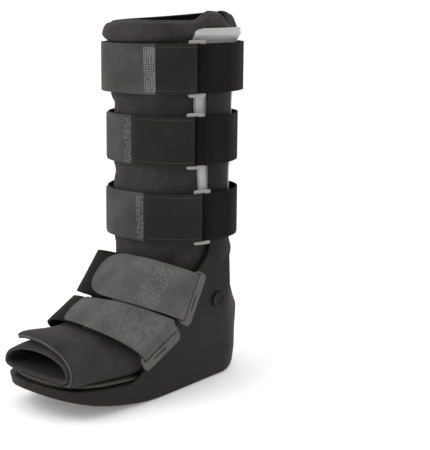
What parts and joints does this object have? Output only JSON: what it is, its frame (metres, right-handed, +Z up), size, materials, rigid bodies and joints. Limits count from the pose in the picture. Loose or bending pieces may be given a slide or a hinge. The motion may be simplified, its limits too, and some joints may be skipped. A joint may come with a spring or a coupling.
{
  "type": "walking boot",
  "caption": "Tall medical walking boot: rigid rocker shell with uprights, open-toed padded liner and hook and loop straps through side rings.",
  "frame": {"origin": "on the floor under the middle of the boot's length and width, as it stands on its sole", "axes": "+Z up along the leg, -Y towards the toes, +X towards the near side with the calf strap rings"},
  "size_m": [0.1417, 0.2789, 0.3985],
  "materials": {
    "shell_plastic": "fine matte moulded",
    "footbed_plastic": "fine matte moulded",
    "liner_fabric": "brushed loop pile over foam",
    "strap_dark": "woven loop webbing",
    "tab_grey": "woven webbing",
    "pad_plastic": "smooth moulded",
    "ring_plastic": "smooth moulded"
  },
  "bodies": {
    "root": {"shell": "shell_plastic", "footbed": "footbed_plastic", "liner": "liner_fabric", "toe_flap": "liner_fabric", "rivet_near": "shell_plastic", "rivet_far": "shell_plastic", "upright_pad_near": "pad_plastic", "upright_pad_far": "pad_plastic", "ankle_ring_near": "ring_plastic", "ankle_ring_far": "ring_plastic", "instep_ring_near": "ring_plastic", "instep_ring_far": "ring_plastic", "top_strap": "strap_dark", "top_tab": "tab_grey", "top_ring_loop": "strap_dark", "top_ring": "ring_plastic", "middle_strap": "strap_dark", "middle_tab": "tab_grey", "middle_ring_loop": "strap_dark", "middle_ring": "ring_plastic", "lower_strap": "strap_dark", "lower_tab": "tab_grey", "lower_ring_loop": "strap_dark", "lower_ring": "ring_plastic", "ankle_strap": "strap_dark", "ankle_tab": "tab_grey", "instep_strap": "strap_dark", "instep_tab": "tab_grey"}
  },
  "joints": []
}
